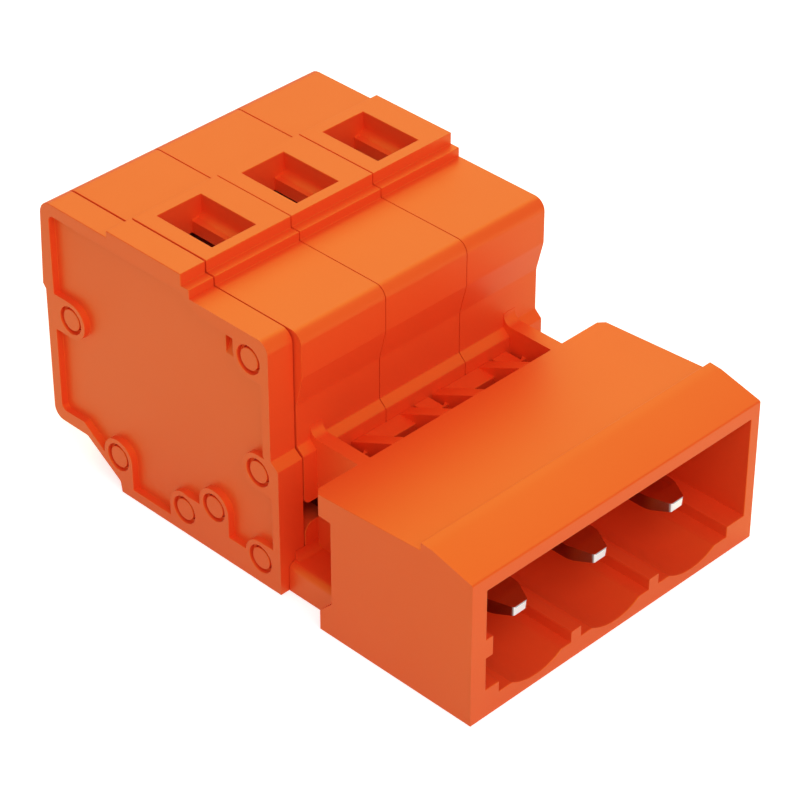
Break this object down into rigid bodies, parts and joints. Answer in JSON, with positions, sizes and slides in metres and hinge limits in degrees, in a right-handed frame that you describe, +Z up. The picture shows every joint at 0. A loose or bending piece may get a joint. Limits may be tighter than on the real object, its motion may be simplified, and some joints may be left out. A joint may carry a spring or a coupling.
{
  "type": "pluggable terminal block",
  "caption": "Male pluggable terminal block with cage clamp poles: wires enter at the rear, a screwdriver goes in from the top, and pins stand in a shroud at the front.",
  "frame": {"origin": "centre of the bounding box's underside, on the surface that the block stands on", "axes": "+X to the right along the poles, +Y towards the wire entries, +Z up towards the screwdriver openings"},
  "size_m": [0.0184, 0.0276, 0.0144],
  "materials": {
    "orange_plastic": "moulded polyamide, satin",
    "tinned_copper": "tin-plated copper, bright satin",
    "spring_steel": "rolled spring steel"
  },
  "bodies": {
    "block": {"end_plate": "orange_plastic", "pole_housing_1": "orange_plastic", "pole_housing_2": "orange_plastic", "pole_housing_3": "orange_plastic", "male_shroud": "orange_plastic", "contact_1": "tinned_copper", "contact_2": "tinned_copper", "contact_3": "tinned_copper"},
    "clamp_1": {"cage_spring_1": "spring_steel"},
    "clamp_2": {"cage_spring_2": "spring_steel"},
    "clamp_3": {"cage_spring_3": "spring_steel"}
  },
  "joints": [
    {"name": "clamp_1_press", "type": "slide", "parent": "block", "child": "clamp_1", "axis": [0, 0, -1], "range_m": [0, 0.0019], "stiffness_N_per_m": 4000, "deforming": ["cage_spring_1"]},
    {"name": "clamp_2_press", "type": "slide", "parent": "block", "child": "clamp_2", "axis": [0, 0, -1], "range_m": [0, 0.0019], "stiffness_N_per_m": 4000, "deforming": ["cage_spring_2"]},
    {"name": "clamp_3_press", "type": "slide", "parent": "block", "child": "clamp_3", "axis": [0, 0, -1], "range_m": [0, 0.0019], "stiffness_N_per_m": 4000, "deforming": ["cage_spring_3"]}
  ]
}
